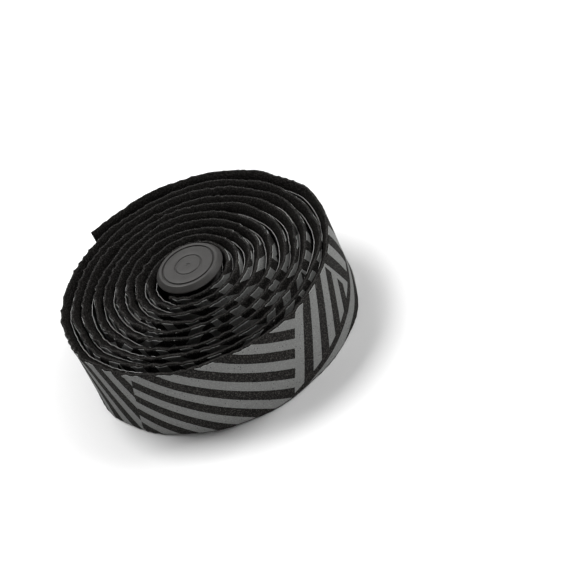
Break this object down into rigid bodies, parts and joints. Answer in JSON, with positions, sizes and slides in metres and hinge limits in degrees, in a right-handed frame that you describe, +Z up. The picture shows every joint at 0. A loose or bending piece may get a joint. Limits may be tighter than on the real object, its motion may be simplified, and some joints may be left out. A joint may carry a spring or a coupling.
{
  "type": "handlebar tape roll",
  "caption": "Roll of padded handlebar tape with skived edges and a slanted two-tone stripe print, wound in an open spiral around a push-in bar end plug.",
  "frame": {"origin": "on the plane that the roll rests on, under the middle of the whole object's outline", "axes": "+Z up along the roll's axis, out of the side that holds the plug; the tape's loose outer end is on the +Y side, towards -X"},
  "size_m": [0.0974, 0.1002, 0.0325],
  "materials": {
    "printed_foam": "matt black closed-cell foam with a fine speckled grain and light grey printed stripes",
    "plug_plastic": "dark grey moulded plastic, satin"
  },
  "bodies": {
    "root": {"tape": "printed_foam", "end_plug": "plug_plastic"}
  },
  "joints": []
}
